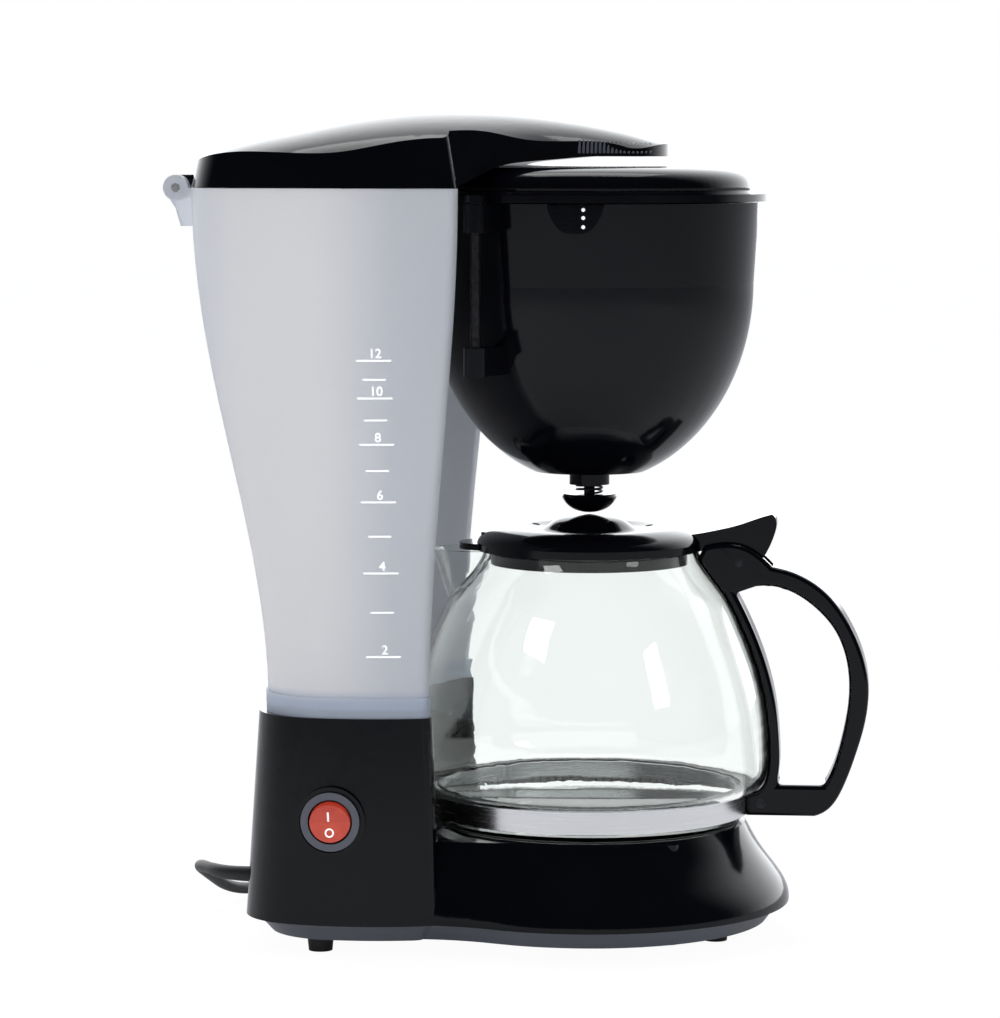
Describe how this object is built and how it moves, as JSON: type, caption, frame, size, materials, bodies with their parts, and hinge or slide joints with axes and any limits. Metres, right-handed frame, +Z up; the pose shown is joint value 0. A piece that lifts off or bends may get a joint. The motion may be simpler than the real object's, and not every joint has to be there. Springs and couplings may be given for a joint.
{
  "type": "drip coffee maker",
  "caption": "Drip coffee maker: flared frosted water tank on a black base, swing-out filter basket over a lidded glass jug on a warming plate, hinged tank lid and rocker switch",
  "frame": {"origin": "centre of the footprint of the appliance without its cord, on the table surface", "axes": "+Z up, +X towards the jug handle, -Y towards the user"},
  "size_m": [0.2762, 0.2684, 0.3313],
  "materials": {
    "black_gloss": "glossy black",
    "dark_grey": "satin dark grey",
    "frosted": "frosted translucent",
    "rubber": "black rubber",
    "hose": "milky silicone",
    "steel": "brushed steel",
    "plate": "dark non-stick coat",
    "aluminium": "plain aluminium",
    "brass": "plain brass",
    "inner_plastic": "white plastic",
    "glass": "clear glass",
    "red": "translucent red"
  },
  "bodies": {
    "chassis": {"base_housing": "black_gloss", "bottom_cover": "dark_grey", "rubber_feet": "rubber", "bottom_screws": "steel", "warming_plate": "plate", "plate_seal": "rubber", "heater_bar": "aluminium", "heater_tube": "aluminium", "heater_element": "steel", "heater_clamp": "steel", "clamp_screw": "steel", "thermostat": "inner_plastic", "thermal_fuse": "inner_plastic", "check_valve": "inner_plastic", "inlet_hose": "hose", "outlet_hose": "hose", "hose_clamps": "steel", "tank_seals": "rubber", "riser_tube": "inner_plastic", "water_tank": "frosted", "brew_head": "black_gloss", "spray_head": "inner_plastic", "pivot_pin": "steel", "switch_body": "dark_grey", "switch_terminals": "brass", "inner_leads": "rubber", "strain_relief": "rubber", "power_cord": "rubber", "cord_coil": "rubber", "cord_tie": "rubber", "power_plug": "rubber", "plug_pins": "brass"},
    "tank_lid": {"tank_lid": "black_gloss", "lid_pins": "steel"},
    "filter_basket": {"filter_basket": "black_gloss", "filter_insert": "inner_plastic", "valve_spring": "steel"},
    "drip_valve": {"drip_valve": "black_gloss", "valve_washer": "rubber"},
    "jug": {"jug_glass": "glass", "jug_band": "steel", "jug_handle": "black_gloss", "band_screw": "steel", "jug_lid_pin": "steel"},
    "jug_lid": {"jug_lid": "black_gloss"},
    "switch_rocker": {"switch_rocker": "red"}
  },
  "joints": [
    {"name": "tank_lid_hinge", "type": "hinge", "parent": "chassis", "child": "tank_lid", "pos_m": [-0.1331, 0, 0.3], "axis": [0, -1, 0], "range_deg": [0, 100]},
    {"name": "basket_swing", "type": "hinge", "parent": "chassis", "child": "filter_basket", "pos_m": [-0.0126, -0.067, 0.26], "axis": [0, 0, -1], "range_deg": [0, 90]},
    {"name": "drip_valve_slide", "type": "slide", "parent": "filter_basket", "child": "drip_valve", "axis": [0, 0, 1], "range_m": [0, 0.003], "deforming": ["valve_spring"]},
    {"name": "jug_slide", "type": "slide", "parent": "chassis", "child": "jug", "axis": [1, 0, 0], "range_m": [0, 0.16]},
    {"name": "jug_lid_hinge", "type": "hinge", "parent": "jug", "child": "jug_lid", "pos_m": [0.0864, 0, 0.151], "axis": [0, 1, 0], "range_deg": [0, 2.6]},
    {"name": "switch_rock", "type": "hinge", "parent": "chassis", "child": "switch_rocker", "pos_m": [-0.0685, -0.074, 0.0553], "axis": [-1, 0, 0], "range_deg": [0, 14]}
  ],
  "couplings": [
    {"joint": "drip_valve_slide", "follows": "jug_lid_hinge", "m_per_rad": 0.063}
  ]
}
